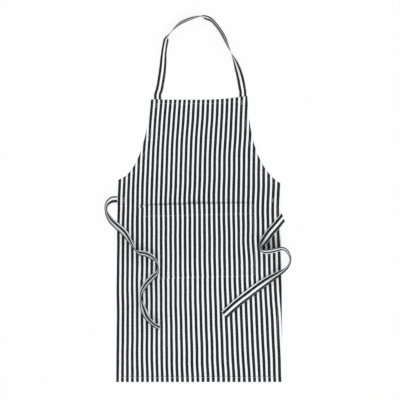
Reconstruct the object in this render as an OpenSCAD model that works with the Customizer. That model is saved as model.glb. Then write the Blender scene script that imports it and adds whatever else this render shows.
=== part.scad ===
// Butcher apron laid out flat, front up: a striped cotton body with turned hems,
// one wide pocket, a neck strap and two waist ties.
// +Z up, +Y towards the neck, +X to the right as it is looked at.
// The origin is the middle of the waist line, on the back of the cloth.

/* [Body] */
// Width of the bib at its top edge
bib_w = 326; // [240:1:360]
// Height of the bib, from the waist line to the top edge
bib_h = 291; // [240:1:340]
// How much higher the bib's right corner lies than its left
bib_slope = 13; // [0:1:16]
// Width at the waist, where the armholes end
waist_w = 539; // [440:1:640]
// Width at the bottom hem
skirt_w = 520; // [440:1:640]
// Height of the skirt, from the waist line to the bottom hem
skirt_h = 630; // [500:1:700]

/* [Cloth] */
// Thickness of one layer of the cloth
layer = 0.6; // [0.4:0.1:0.8]
// Depth of the double-turned hem round the body
hem = 16; // [10:1:20]

/* [Pocket] */
// Width of the pocket
pocket_w = 377; // [300:1:400]
// Height of the pocket
pocket_h = 240; // [180:1:260]
// How far the pocket's mouth is below the waist line
pocket_drop = 68; // [50:1:90]
// Sideways place of the pocket's middle
pocket_x = -11; // [-20:1:20]
// How far the pocket is turned from level, in degrees
pocket_tilt = 1.4; // [0:0.1:2]
// How far the mouth stands open in its middle
pocket_gape = 10; // [8:1:14]
// Depth of the hem at the pocket's mouth
mouth_hem = 38; // [25:1:45]
// Depth of the turnings at the pocket's sides and bottom
turning = 12; // [8:1:15]

/* [Tapes] */
// Width of the neck strap and the ties
tape_w = 27; // [20:1:30]
// Length of a tape's end that is sewn to the back
sewn_end = 30; // [24:1:36]

/* [Hidden] */

cloth = [0.36, 0.37, 0.42];
turned_cloth = [0.46, 0.47, 0.52];
pocket_cloth = [0.30, 0.32, 0.38];
tape_cloth = [0.22, 0.23, 0.28];
thread = [0.93, 0.93, 0.91];

turned = 2 * layer;        // the two layers of a turned hem, and a tape's thickness
hem_top = 3 * layer;       // the front's height over a hem
thread_w = 0.6;
thread_h = 0.25;
stitch_in = hem - 2.4;     // how far in from the edge the hem is stitched
armhole_steps = 28;

// ---- outline of the body ----
// Each corner and curve is given as on the right half, moved in from the edge by d.
// Side 0 is the left: its armhole ends higher, as the cloth lies.

waist_y = [14, 2];
armhole_curves = [
    [[bib_w / 2, bib_h], [bib_w / 2 + 10, 0.6 * bib_h],
     [waist_w / 2 - 71, 33], [waist_w / 2, waist_y[0]]],
    [[bib_w / 2, bib_h], [bib_w / 2 + 4, 0.66 * bib_h],
     [waist_w / 2 - 89, 54], [waist_w / 2, waist_y[1]]]
];

function bezier(c, t) =
    pow(1 - t, 3) * c[0] + 3 * pow(1 - t, 2) * t * c[1]
    + 3 * (1 - t) * t * t * c[2] + pow(t, 3) * c[3];
function bezier_slope(c, t) =
    3 * pow(1 - t, 2) * (c[1] - c[0]) + 6 * (1 - t) * t * (c[2] - c[1]) + 3 * t * t * (c[3] - c[2]);
function unit(v) = v / norm(v);
function reversed(list) = [for (i = [len(list) - 1:-1:0]) list[i]];

function side_x(y) = waist_w / 2 - (waist_w - skirt_w) / 2 * -y / skirt_h;
function top_corner(d) = [bib_w / 2 - d, bib_h - d];
function waist_corner(d, side) =
    let (s = unit(bezier_slope(armhole_curves[side], 1)))
    [waist_w / 2 - d, waist_y[side] - d * (1 + s[1]) / s[0]];
function bottom_corner(d) = [skirt_w / 2 - d, -skirt_h + d];

function armhole_point(t, d, side) =
    let (s = unit(bezier_slope(armhole_curves[side], t)))
    bezier(armhole_curves[side], t) + d * [s[1], -s[0]];
function armhole_line(d, side) = concat(
    [top_corner(d)],
    [for (i = [1:armhole_steps - 1])
        let (p = armhole_point(i / armhole_steps, d, side))
        if (p[1] < bib_h - d - 2 && p[0] < waist_w / 2 - d - 2) p],
    [waist_corner(d, side)]);

// The bib lies a little askew: its right half curves up to a higher corner.
function lay(p) =
    let (right = min(1, max(0, 2 * p[0] / bib_w)))
    [p[0], p[1] + bib_slope * right * right * max(0, p[1]) / bib_h];
function laid(points) = [for (p = points) lay(p)];
function flip(p) = [-p[0], p[1]];
function flipped(points) = reversed([for (p = points) flip(p)]);

function half_outline(d, side) = concat(armhole_line(d, side), [bottom_corner(d)]);
function outline(d) = laid(concat(
    half_outline(d, 1), flipped(half_outline(d, 0)),
    [for (i = [1:top_steps - 1]) top_point(i, d)]));

// Bands between two distances in from the edge, one along each edge.
top_steps = 12;
function top_point(i, d) = [(2 * i / top_steps - 1) * top_corner(d)[0], bib_h - d];
function top_line(d) = [for (i = [0:top_steps]) top_point(i, d)];
function top_band(a, b) = laid(concat(top_line(a), reversed(top_line(b))));
function armhole_band(a, b, side) =
    concat(armhole_line(a, side), reversed(armhole_line(b, side)));
function side_band(a, b, side) = [waist_corner(a, side), bottom_corner(a),
                                  bottom_corner(b), waist_corner(b, side)];
function bottom_band(a, b) =
    [flip(bottom_corner(a)), flip(bottom_corner(b)), bottom_corner(b), bottom_corner(a)];

// ---- places of the tapes ----
strap_x = [-141, 147];           // middles of the strap's two sewn ends
strap_out = 6.5;                 // how far a sewn end of the strap stands past the bib's edge
tie_y = -54;                     // height of both ties' sewn ends
tie_out = 2;                     // how far the left tie's sewn end stands past the edge
exit_y = -112;                   // where the right tie comes out from under the edge
run_in = 44;                     // how far in the right tie's hidden stretch reaches
fold_top = [268, exit_y + tape_w / 2];
fold_bottom = [278, exit_y - tape_w / 2];

function bib_edge_y(x) = lay([x, bib_h])[1];

module strap_end_area(side, grow) {
    x = strap_x[side];
    translate([x - tape_w / 2 - grow, bib_edge_y(x) - sewn_end - grow])
        square([tape_w + 2 * grow, sewn_end + grow + strap_out]);
}

// Size and place of the box stitches that hold the tapes.
box_l = tape_w - 13;
box_d = 10;
box_in = hem + 7;                // middle of a box stitch, in from the edge
module at_strap_box(side) {
    x = strap_x[side];
    translate([x, bib_edge_y(x) - box_in, 0]) children();
}

module tie_end_left_area(grow) {
    x = -side_x(tie_y);
    translate([x - tie_out, tie_y - tape_w / 2 - grow])
        square([sewn_end + tie_out + grow, tape_w + 2 * grow]);
}

// The right tie is sewn level with the left one, runs down behind the side hem
// and comes out from under the edge, where it folds back over the front.
module tie_end_right_area(grow) {
    x = side_x(tie_y);
    translate([x - run_in - grow, tie_y - tape_w / 2 - grow])
        square([run_in - 2 + grow, tape_w + 2 * grow]);
    translate([x - run_in - grow, exit_y - tape_w / 2 - grow])
        square([tape_w + 2 * grow, tie_y - exit_y + tape_w + 2 * grow]);
    polygon([
        [x - run_in - grow, exit_y - tape_w / 2 - grow],
        [fold_bottom[0], exit_y - tape_w / 2 - grow],
        [fold_top[0], exit_y + tape_w / 2 + grow],
        [x - run_in - grow, exit_y + tape_w / 2 + grow]
    ]);
}

module sewn_areas(grow) {
    strap_end_area(0, grow);
    strap_end_area(1, grow);
    tie_end_left_area(grow);
    tie_end_right_area(grow);
}

// ---- body panel and hems ----
module raised_area(grow) {
    intersection() {
        polygon(outline(0));
        union() {
            difference() {
                polygon(outline(0));
                polygon(outline(hem + grow));
            }
            sewn_areas(grow);
        }
    }
}

// One cloth: it lies flat, and steps up over the hems and the tapes' ends.
module body_panel() {
    color(cloth) {
        linear_extrude(layer) difference() {
            polygon(outline(0));
            raised_area(0);
        }
        linear_extrude(hem_top) difference() {
            raised_area(layer);
            raised_area(0);
        }
        translate([0, 0, turned]) linear_extrude(layer) raised_area(0);
    }
}

module turned_hem(band) {
    color(turned_cloth) linear_extrude(turned) difference() {
        polygon(band);
        sewn_areas(0);
    }
}

module bib_top_hem() { turned_hem(top_band(0, hem)); }
module armhole_hem_left() { turned_hem(laid(flipped(armhole_band(0, hem, 0)))); }
module armhole_hem_right() { turned_hem(laid(armhole_band(0, hem, 1))); }
module side_hem_left() { turned_hem(laid(flipped(side_band(0, hem, 0)))); }
module side_hem_right() { turned_hem(laid(side_band(0, hem, 1))); }
module bottom_hem() { turned_hem(bottom_band(0, hem)); }

// ---- stitching of the hems ----
module stitch_run(band) {
    color(thread) translate([0, 0, hem_top]) linear_extrude(thread_h) polygon(band);
}

stitch_to = stitch_in + thread_w;
module stitch_bib_top() { stitch_run(top_band(stitch_in, stitch_to)); }
module stitch_armhole_left() { stitch_run(laid(flipped(armhole_band(stitch_in, stitch_to, 0)))); }
module stitch_armhole_right() {
    // The strap's box stitch crosses this run.
    difference() {
        stitch_run(laid(armhole_band(stitch_in, stitch_to, 1)));
        at_strap_box(1) cube([box_l, box_d + thread_w, 3 * hem_top], center = true);
    }
}
module stitch_side_left() { stitch_run(laid(flipped(side_band(stitch_in, stitch_to, 0)))); }
module stitch_side_right() { stitch_run(laid(side_band(stitch_in, stitch_to, 1))); }
module stitch_bottom() { stitch_run(bottom_band(stitch_in, stitch_to)); }

// ---- pocket ----
// A cloth surface that is flat at its sides and bottom and rises at its mouth.
// u runs across from the middle, v runs down from the mouth.
pocket_top = 3 * layer;          // height of the pocket's front at its seams
seam_gap = 0.02;
across = [for (i = [-7:7]) i * (pocket_w / 2 - turning) / 7];
down = [for (i = [0:6]) mouth_hem + i * (pocket_h - turning - mouth_hem) / 6];
u_lines = concat([-pocket_w / 2], across, [pocket_w / 2]);
v_lines = concat([0], down, [pocket_h]);

function pocket_rise(u, v) =
    pocket_gape * max(0, 1 - pow(2 * u / pocket_w, 2)) * max(0, 1 - pow(v / pocket_h, 2));

// One closed solid over a stretch of the surface; its top is `up` above the seams' height.
module pocket_sheet(us, vs, up, thick) {
    nu = len(us);
    nv = len(vs);
    top = [for (v = vs) for (u = us) [u, -v, up + pocket_rise(u, v)]];
    under = [for (p = top) p - [0, 0, thick]];
    n = nu * nv;
    cells = [for (j = [0:nv - 2]) for (i = [0:nu - 2]) j * nu + i];
    rim = concat([for (i = [0:nu - 1]) i],
                 [for (j = [1:nv - 1]) j * nu + nu - 1],
                 [for (i = [nu - 2:-1:0]) (nv - 1) * nu + i],
                 [for (j = [nv - 2:-1:1]) j * nu]);
    translate([pocket_x, -pocket_drop, 0]) rotate([0, 0, pocket_tilt])
        polyhedron(concat(top, under), concat(
            [for (k = cells) [k, k + 1, k + nu]],
            [for (k = cells) [k + 1, k + nu + 1, k + nu]],
            [for (k = cells) [n + k, n + k + nu, n + k + 1]],
            [for (k = cells) [n + k + 1, n + k + nu, n + k + nu + 1]],
            [for (i = [0:len(rim) - 1])
                let (a = rim[i], b = rim[(i + 1) % len(rim)]) [b, a, n + a]],
            [for (i = [0:len(rim) - 1])
                let (a = rim[i], b = rim[(i + 1) % len(rim)]) [b, n + a, n + b]]));
}

under_panel = pocket_top - layer - seam_gap;
turned_in = layer - 2 * seam_gap;

module pocket_panel() { color(pocket_cloth) pocket_sheet(u_lines, v_lines, pocket_top, layer); }
module pocket_mouth_hem() {
    color(turned_cloth) pocket_sheet(across, [0, mouth_hem], under_panel, turned_in);
}
module pocket_turning_left() {
    color(turned_cloth) pocket_sheet([-pocket_w / 2, across[0]], v_lines, under_panel, turned_in);
}
module pocket_turning_right() {
    color(turned_cloth) pocket_sheet([across[14], pocket_w / 2], v_lines, under_panel, turned_in);
}
module pocket_turning_bottom() {
    color(turned_cloth)
        pocket_sheet(across, [pocket_h - turning, pocket_h], under_panel, turned_in);
}

seam_in = 2.4;                   // how far in from the pocket's edge it is stitched on
bead_top = pocket_top + thread_h + 3 * seam_gap;
side_stitch = [pocket_w / 2 - seam_in - thread_w, pocket_w / 2 - seam_in];
module stitch_pocket_left() {
    color(thread) pocket_sheet([-side_stitch[1], -side_stitch[0]], v_lines, bead_top, thread_h);
}
module stitch_pocket_right() {
    color(thread) pocket_sheet(side_stitch, v_lines, bead_top, thread_h);
}
module stitch_pocket_bottom() {
    v = pocket_h - seam_in;
    color(thread) pocket_sheet(across, [v - thread_w, v], bead_top, thread_h);
}
module stitch_pocket_mouth() {
    v = mouth_hem - seam_in;
    color(thread) pocket_sheet(across, [v - thread_w, v], bead_top, thread_h);
}

bartack_l = 12;
bartack_w = 2;
module bartack(side) {
    u = side * (pocket_w / 2 - 7);
    us = [u - bartack_w / 2, u + bartack_w / 2];
    color(thread) pocket_sheet(us, [3, 3 + bartack_l], bead_top + thread_h, 2 * thread_h);
}
module bartack_pocket_left() { bartack(-1); }
module bartack_pocket_right() { bartack(1); }

// ---- tapes ----
// A route's points are [x, y, roll]: roll 0 lies flat, 90 stands on its edge.
// Each point rests on what is under it.
strap_route = [
    [-141, 299, 0], [-141, 308, 0], [-139, 317, 0], [-135.5, 328, 2], [-131, 356, 6],
    [-127.5, 383, 12], [-124.5, 411, 22], [-122.5, 438, 36], [-120, 463, 46], [-116, 488, 50],
    [-112, 504, 60], [-106.5, 515.5, 96], [-95, 532, 105], [-84, 546, 98], [-66, 562, 92],
    [-45, 573, 93], [-21, 582, 98], [2, 587, 110], [19, 585.5, 150], [33, 581, 150],
    [47, 570, 137], [61, 553, 133], [72.5, 536, 131], [82, 519, 131], [90, 500, 125],
    [100, 474, 114], [109, 453, 101], [116, 438, 86], [121, 427, 73], [127, 411, 56],
    [135, 386, 34], [141, 360, 16], [145, 334, 4], [147, 322, 0], [147, 316, 0], [147, 309, 0]
];
tie_left_route = [
    [-271.5, -54, 0], [-275.5, -54, -4], [-281, -55, -14], [-288, -58, -34], [-298, -66.5, -62],
    [-303, -79, -78], [-302, -91.5, -78], [-296, -107, -63], [-284, -124, -47],
    [-267, -140, -39], [-252, -153, -38], [-238, -168, -42], [-224, -190, -60],
    [-212, -209, -80], [-206, -219, -86], [-199, -225.5, -72], [-188, -229, -50],
    [-171, -232, -48], [-155, -240, -54], [-141, -251, -70], [-133, -263, -86],
    [-130, -277, -99], [-134, -292, -118], [-146, -304, -133], [-163, -321, -136],
    [-176, -339, -130], [-183.5, -356, -116], [-185.5, -372, -98], [-183, -387, -76],
    [-175, -411, -50], [-166, -430, -54], [-154, -444, -62], [-139, -456, -64], [-124, -464, -60]
];
tie_right_route = [
    [273, -112, 0], [264, -123, 0], [253.5, -136, 0], [241, -150, 0], [229.5, -163, 2],
    [213, -186, 22], [203, -200, 54], [196, -212, 86], [200, -220, 80], [214, -224, 64],
    [232, -222, 62], [250, -218, 64], [267, -215, 70], [280, -221, 78], [289, -233, 84],
    [293, -248, 87], [289, -264, 84], [277, -279, 74], [260, -291, 60], [237, -305, 42],
    [214, -319, 22], [186, -338, 6], [157, -360, 0], [128, -382, 0], [100, -406, 0],
    [80, -424, 0]
];

cloth_clear = 2.5;               // height at which a tape clears the body's hems
pocket_clear = 1.0;              // what it needs more, over the pocket
ramp = 12;                       // length over which it climbs onto the body
ramp_out = 10;                   // how far outside the edge it has climbed
crossing_y = -100;               // the ties come onto the body below this

function over_pocket(x, y) =
    let (v = -y - pocket_drop, u = x - pocket_x)
    (abs(u) < pocket_w / 2 && v > 0 && v < pocket_h) ? pocket_clear + pocket_rise(u, v) : 0;
function over_body(x, y) =
    y > crossing_y ? 0
    : cloth_clear * min(1, max(0, (side_x(y) + ramp_out + ramp - abs(x)) / ramp));
function tape_z(p) =
    over_body(p[0], p[1]) + over_pocket(p[0], p[1])
    + tape_w / 2 * abs(sin(p[2])) + turned / 2 * abs(cos(p[2]));
function on_surface(p) = [p[0], p[1], tape_z(p), p[2]];

// A smooth curve through every point, with `parts` steps between neighbours.
function through(a, b, c, d, t) =
    0.5 * (2 * b + (c - a) * t + (2 * a - 5 * b + 4 * c - d) * t * t
           + (3 * b - a - 3 * c + d) * pow(t, 3));
function smooth(route, parts) =
    let (last = len(route) - 1)
    concat([for (i = [0:last - 1]) for (k = [0:parts - 1])
        through(route[max(0, i - 1)], route[i], route[i + 1], route[min(last, i + 2)], k / parts)],
        [route[last]]);

function place(p) = [p[0], p[1], p[2]];
tape_section = [
    for (s = [[1, -0.2], [1, 0.2], [0.97, 0.5], [-0.97, 0.5],
              [-1, 0.2], [-1, -0.2], [-0.97, -0.5], [0.97, -0.5]])
        [s[0] * tape_w / 2, s[1] * turned]
];

// `slant` skews the first ring, for a tape that starts at a slanting fold.
function tape_ring(line, i, slant) =
    let (last = len(line) - 1,
         along = unit(place(line[min(last, i + 1)]) - place(line[max(0, i - 1)])),
         level = unit([-along[1], along[0], 0]),
         up = cross(along, level),
         roll = line[i][3],
         wide = cos(roll) * level + sin(roll) * up,
         thick = cross(along, wide),
         skew = i == 0 ? slant : 0)
    [for (s = tape_section) place(line[i]) + s[0] * (wide + skew * along) + s[1] * thick];

module tape(route, slant = 0) {
    line = smooth([for (p = route) on_surface(p)], 2);
    rings = len(line);
    sides = len(tape_section);
    points = [for (i = [0:rings - 1]) each tape_ring(line, i, slant)];
    // Both faces of the tape are split along the same diagonal, so a twist keeps its thickness.
    triangles = [for (i = [0:rings - 2]) for (k = [0:sides - 1])
        let (a = i * sides + k, b = i * sides + (k + 1) % sides, c = b + sides, d = a + sides)
        each (k < sides / 2 ? [[a, b, c], [a, c, d]] : [[a, b, d], [b, c, d]])];
    first = [for (k = [sides - 1:-1:0]) k];
    final = [for (k = [0:sides - 1]) (rings - 1) * sides + k];
    color(tape_cloth) polyhedron(points, concat([first], triangles, [final]));
}

module neck_strap() { tape(strap_route); }
module waist_tie_left() { tape(tie_left_route); }
fold_slant = 0.62;
module waist_tie_right() { tape(tie_right_route, fold_slant); }

module sewn_tape() { color(tape_cloth) linear_extrude(turned) children(); }
module neck_strap_end_left() { sewn_tape() strap_end_area(0, 0); }
module neck_strap_end_right() { sewn_tape() strap_end_area(1, 0); }
module waist_tie_end_left() { sewn_tape() tie_end_left_area(0); }
module waist_tie_end_right() { sewn_tape() tie_end_right_area(0); }

// A stitched box with a cross, centred where it is drawn.
module box_stitch(w, d) {
    diagonal = norm([w, d]) - 2 * thread_w;
    color(thread) translate([0, 0, hem_top]) linear_extrude(thread_h) {
        difference() {
            square([w, d], center = true);
            square([w - 2 * thread_w, d - 2 * thread_w], center = true);
        }
        for (side = [-1, 1])
            rotate([0, 0, side * atan2(d, w)]) square([diagonal, thread_w], center = true);
    }
}

module box_stitch_strap_left() { at_strap_box(0) box_stitch(box_l, box_d); }
module box_stitch_strap_right() { at_strap_box(1) box_stitch(box_l, box_d); }
module box_stitch_tie_left() {
    translate([-side_x(tie_y) + box_in, tie_y, 0]) box_stitch(box_d, box_l);
}
module box_stitch_tie_right() {
    translate([side_x(tie_y) - box_in, tie_y, 0]) box_stitch(box_d, box_l);
}

body_panel();
bib_top_hem();
armhole_hem_left();
armhole_hem_right();
side_hem_left();
side_hem_right();
bottom_hem();
pocket_panel();
pocket_mouth_hem();
pocket_turning_left();
pocket_turning_right();
pocket_turning_bottom();
neck_strap();
neck_strap_end_left();
neck_strap_end_right();
waist_tie_left();
waist_tie_right();
waist_tie_end_left();
waist_tie_end_right();
stitch_bib_top();
stitch_armhole_left();
stitch_armhole_right();
stitch_side_left();
stitch_side_right();
stitch_bottom();
stitch_pocket_left();
stitch_pocket_right();
stitch_pocket_bottom();
stitch_pocket_mouth();
bartack_pocket_left();
bartack_pocket_right();
box_stitch_strap_left();
box_stitch_strap_right();
box_stitch_tie_left();
box_stitch_tie_right();
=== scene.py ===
import math
import random

import bpy
import numpy as np
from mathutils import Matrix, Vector


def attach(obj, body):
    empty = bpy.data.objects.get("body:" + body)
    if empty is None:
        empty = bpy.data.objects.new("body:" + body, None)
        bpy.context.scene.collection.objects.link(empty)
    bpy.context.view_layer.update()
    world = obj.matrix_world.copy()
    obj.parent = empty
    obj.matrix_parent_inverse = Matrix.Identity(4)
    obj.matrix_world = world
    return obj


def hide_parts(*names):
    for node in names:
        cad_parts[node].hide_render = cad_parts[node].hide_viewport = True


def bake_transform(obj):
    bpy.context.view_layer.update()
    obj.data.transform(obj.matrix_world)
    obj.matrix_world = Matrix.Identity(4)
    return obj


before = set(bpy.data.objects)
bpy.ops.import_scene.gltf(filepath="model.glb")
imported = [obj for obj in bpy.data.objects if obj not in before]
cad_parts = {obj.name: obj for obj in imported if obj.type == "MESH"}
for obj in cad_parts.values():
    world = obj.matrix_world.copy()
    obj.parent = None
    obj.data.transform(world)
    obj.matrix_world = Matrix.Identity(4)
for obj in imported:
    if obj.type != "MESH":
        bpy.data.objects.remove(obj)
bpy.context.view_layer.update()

MM = 0.001

# ---- the real object's sizes, as in the CAD ----
BIB_W, BIB_H, BIB_SLOPE = 326.0, 291.0, 13.0
WAIST_W, SKIRT_W, SKIRT_H = 539.0, 520.0, 630.0
WAIST_Y = (14.0, 2.0)      # where the left and the right armhole end
LAYER = 0.6                # thickness of one cloth
TURNED = 2 * LAYER
HEM = 16.0
STITCH_IN = HEM - 2.1
POCKET_W, POCKET_H, POCKET_DROP, POCKET_X = 377.0, 240.0, 68.0, -11.0
POCKET_TILT = math.radians(1.4)
MOUTH_HEM, TURNING, SEAM_IN = 38.0, 12.0, 2.4
TAPE_W = 27.0
SEWN_END = 30.0
STRAP_X = (-141.0, 147.0)
TIE_Y, EXIT_Y = -54.0, -112.0      # where a tie is sewn, and where the right one comes out
RUN_IN = 44.0              # how far in from the side edge its hidden stretch runs down

STRIPE_PITCH = 16.0       # from one dark stripe of the cloth to the next
STRIPE_DARK = 0.570       # share of the pitch that is dark
TAPE_STRIPE = 7.9         # a tape's two dark stripes, either side of its middle
TAPE_DARK = 8.8           # width of each
# how far off its middle each tape's stripes lie, as it was folded: along it, aside
STRAP_ASIDE = ((0, -1.4), (120, -1.0), (200, 0), (320, 0), (385, -2.0), (540, -2.4), (620, 0), (763, 1.0))
TIE_LEFT_ASIDE = ((0, -4.8), (200, -5.4), (526, -5.4))
TIE_RIGHT_ASIDE = ((0, 1.2), (90, 1.2), (250, 2.0), (534, 2.0))
# painted shade on each tape, which greys its white mostly where it stands on its edge or turns over: along
# it, share
STRAP_PAINTED_SHADE = ((0, 0), (215, 0), (255, 0.5), (290, 0.8), (396, 0.8), (404, 0.05), (420, 0.05), (434, 0.7),
                 (520, 0.8), (570, 0.45), (650, 0.25), (700, 0), (763, 0))
TIE_LEFT_PAINTED_SHADE = ((0, 0), (50, 0.15), (80, 0.5), (110, 0.5), (150, 0.1), (526, 0.3))
TIE_RIGHT_PAINTED_SHADE = ((0, 0), (90, 0.1), (125, 0.35), (200, 0.3), (280, 0), (534, 0))

# each tape's phase, which sets where it cups and wavers
STRAP_PHASE, TIE_LEFT_PHASE, TIE_RIGHT_PHASE = 0.4, 1.9, 3.2

# ---- routes of the tapes: x, y and roll; roll 0 lies flat, 90 stands on its edge ----
STRAP_ROUTE = [
    (-141, 299, 0), (-141, 308, 0), (-139, 317, 0), (-135.5, 328, 2), (-131, 356, 6),
    (-127.5, 383, 12), (-124.5, 411, 22), (-122.5, 438, 36), (-120, 463, 46),
    (-116, 488, 50), (-112, 504, 60), (-106.5, 515.5, 96), (-95, 532, 105), (-84, 546, 98),
    (-66, 562, 92), (-45, 573, 93), (-21, 582, 98), (2, 587, 110), (19, 585.5, 150),
    (33, 581, 150), (47, 570, 137), (61, 553, 133), (72.5, 536, 131), (82, 519, 131),
    (90, 500, 125), (100, 474, 114), (109, 453, 101), (116, 438, 86), (121, 427, 73),
    (127, 411, 56), (135, 386, 34), (141, 360, 16), (145, 334, 4), (147, 322, 0),
    (147, 316, 0), (147, 309, 0),
]
TIE_LEFT_ROUTE = [
    (-271.5, -54, 0), (-275.5, -54, -4), (-281, -55, -14), (-288, -58, -34),
    (-298, -66.5, -62), (-303, -79, -78), (-302, -91.5, -78), (-296, -107, -63),
    (-284, -124, -47), (-267, -140, -39), (-252, -153, -38), (-238, -168, -42),
    (-224, -190, -60), (-212, -209, -80), (-206, -219, -86), (-199, -225.5, -72),
    (-188, -229, -50), (-171, -232, -48), (-155, -240, -54), (-141, -251, -70),
    (-133, -263, -86), (-130, -277, -99), (-134, -292, -118), (-146, -304, -133),
    (-163, -321, -136), (-176, -339, -130), (-183.5, -356, -116), (-185.5, -372, -98),
    (-183, -387, -76), (-175, -411, -50), (-166, -430, -54), (-154, -444, -62),
    (-139, -456, -64), (-124, -464, -60),
]
TIE_RIGHT_ROUTE = [
    (273, -112, 0), (264, -123, 0), (253.5, -136, 0), (241, -150, 0), (229.5, -163, 2),
    (213, -186, 22), (203, -200, 54), (196, -212, 86), (200, -220, 80), (214, -224, 64),
    (232, -222, 62), (250, -218, 64), (267, -215, 70), (280, -221, 78), (289, -233, 84),
    (293, -248, 87), (289, -264, 84), (277, -279, 74), (260, -291, 60), (237, -305, 42),
    (214, -319, 22), (186, -338, 6), (157, -360, 0), (128, -382, 0), (100, -406, 0),
    (80, -424, 0),
]

# ---- camera ----
CAMERA_FAR = 2.0                      # metres from the cloth
CAMERA_TILT = math.radians(9.88)      # off straight down, from the hem's side
CAMERA_AIM = Vector((0.0029, -0.0530, 0.0))
LENS = 54.753


def make_camera():
    data = bpy.data.cameras.new("camera")
    data.lens = LENS
    data.sensor_width = 36
    camera = bpy.data.objects.new("camera", data)
    bpy.context.scene.collection.objects.link(camera)
    away = Vector((0, -math.sin(CAMERA_TILT), math.cos(CAMERA_TILT)))
    camera.location = CAMERA_AIM + CAMERA_FAR * away
    camera.rotation_euler = (CAMERA_TILT, 0, 0)
    bpy.context.scene.camera = camera


make_camera()


# ---- how the cloth lies ----
def armhole_curve(side, count=400):
    """One armhole's curve as x and y, mirrored to the right: side 0 is the left."""
    t = np.linspace(0, 1, count)[:, None]
    corner, waist = BIB_W / 2, WAIST_W / 2
    bends = (
        ((corner + 10, 0.6 * BIB_H), (waist - 71, 33)),
        ((corner + 4, 0.66 * BIB_H), (waist - 89, 54)),
    )[side]
    c = np.array([(corner, BIB_H), *bends, (waist, WAIST_Y[side])])
    return (1 - t) ** 3 * c[0] + 3 * (1 - t) ** 2 * t * c[1] + 3 * (1 - t) * t * t * c[2] + t**3 * c[3]


ARMHOLES = (armhole_curve(0), armhole_curve(1))


def half_width(y, side):
    """The body's width to one side of its middle at y, before the bib is laid askew."""
    y = np.asarray(y, float)
    skirt = WAIST_W / 2 + (WAIST_W - SKIRT_W) / 2 * y / SKIRT_H
    bib = np.interp(y, ARMHOLES[side][::-1, 1], ARMHOLES[side][::-1, 0])
    return np.where(y > WAIST_Y[side], bib, skirt)


def askew_share(x):
    """How far the bib's askew lay moves the cloth up at x, as a share of its height."""
    return BIB_SLOPE * np.clip(2 * x / BIB_W, 0, 1) ** 2 / BIB_H


def askew(x, y):
    """How far the bib's askew lay moves a point up."""
    return askew_share(x) * np.maximum(0, y)


def straight_y(x, y):
    """The height on the cloth of a point that lies at x, y."""
    return np.where(y > 0, y / (1 + askew_share(x)), y)


def outline_points():
    """The body's whole edge, before the bib is laid askew."""
    right = np.vstack([ARMHOLES[1][::6], ARMHOLES[1][-1:], [(SKIRT_W / 2, -SKIRT_H)]])
    left = np.vstack([ARMHOLES[0][::6], ARMHOLES[0][-1:], [(SKIRT_W / 2, -SKIRT_H)]])
    left = left[::-1] * (-1, 1)
    return np.vstack([right, left, right[:1]])


OUTLINE = outline_points()


def edge_distance(x, y):
    """How far in from the body's edge each point of the cloth is."""
    shape = np.broadcast(x, y).shape
    p = np.stack(np.broadcast_arrays(x, y), -1).reshape(-1, 2).astype(float)
    best = np.full(len(p), 1e9)
    for a, b in zip(OUTLINE[:-1], OUTLINE[1:]):
        d = b - a
        t = np.clip(((p - a) @ d) / max(d @ d, 1e-9), 0, 1)
        best = np.minimum(best, np.linalg.norm(p - a - t[:, None] * d, axis=1))
    return best.reshape(shape)


def smooth_step(a, b, x):
    t = np.clip((x - a) / (b - a), 0, 1)
    return t * t * (3 - 2 * t)


# Each wave is its height in mm, its turns along x and y per metre, and its phase.
WAVES = [
    (0.62, 3.1, 1.7, 0.6, 1.3, -2.3, 0.4),
    (0.50, -4.6, 3.9, 2.1, 2.2, 1.6, 1.7),
    (0.34, 7.9, 2.3, 4.0, -1.9, 3.1, 2.9),
    (0.24, -10.7, 5.2, 1.1, 3.4, -2.7, 5.0),
    (0.16, 15.1, -7.3, 3.3, -4.1, 4.9, 0.9),
]


def waves(x, y):
    """The gentle rise and fall of cloth on a table, never below it."""
    total = 0.0
    for high, kx, ky, phase, gx, gy, shift in WAVES:
        run = np.sin(2 * math.pi * MM * (kx * x + ky * y) + phase)
        swell = 0.5 + 0.5 * np.sin(2 * math.pi * MM * (gx * x + gy * y) + shift)
        total = total + high * (1 + run) * swell
    return total


def patch(x, y, x0, x1, y0, y1, spare=4.2, soft=5.0):
    """1 over a rectangle and a little past it, then a soft step to 0."""
    out_x = np.maximum(x0 - x, x - x1) - spare
    out_y = np.maximum(y0 - y, y - y1) - spare
    return smooth_step(-soft, 0, -np.maximum(out_x, out_y))


def side_x(y):
    """Half the body's width at a height below the waist."""
    return WAIST_W / 2 + (WAIST_W - SKIRT_W) / 2 * y / SKIRT_H


def tape_under(x, y):
    """1 where a tape's sewn end lies under the cloth."""
    half = TAPE_W / 2
    over = 0.0
    for middle in STRAP_X:
        edge = BIB_H + askew(middle, BIB_H)
        over = np.maximum(over, patch(x, y, middle - half, middle + half, edge - SEWN_END, edge + 50))
    left = -side_x(TIE_Y)
    over = np.maximum(over, patch(x, y, left - 50, left + SEWN_END, TIE_Y - half, TIE_Y + half))
    right = side_x(TIE_Y)
    run = right - RUN_IN
    over = np.maximum(over, patch(x, y, run, right - 2, TIE_Y - half, TIE_Y + half))
    over = np.maximum(over, patch(x, y, run, run + TAPE_W, EXIT_Y - half, TIE_Y + half))
    return np.maximum(over, patch(x, y, run, right + 50, EXIT_Y - half, EXIT_Y + half))


def calm(x, y):
    """0 at the right tie's fold, where the layers are pressed together, and 1 away from it."""
    return smooth_step(18, 75, np.hypot(x - 262, y + 114))


def lift(x, y):
    """Height of the underside of all the cloth."""
    return waves(x, y) * calm(x, y)


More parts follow.
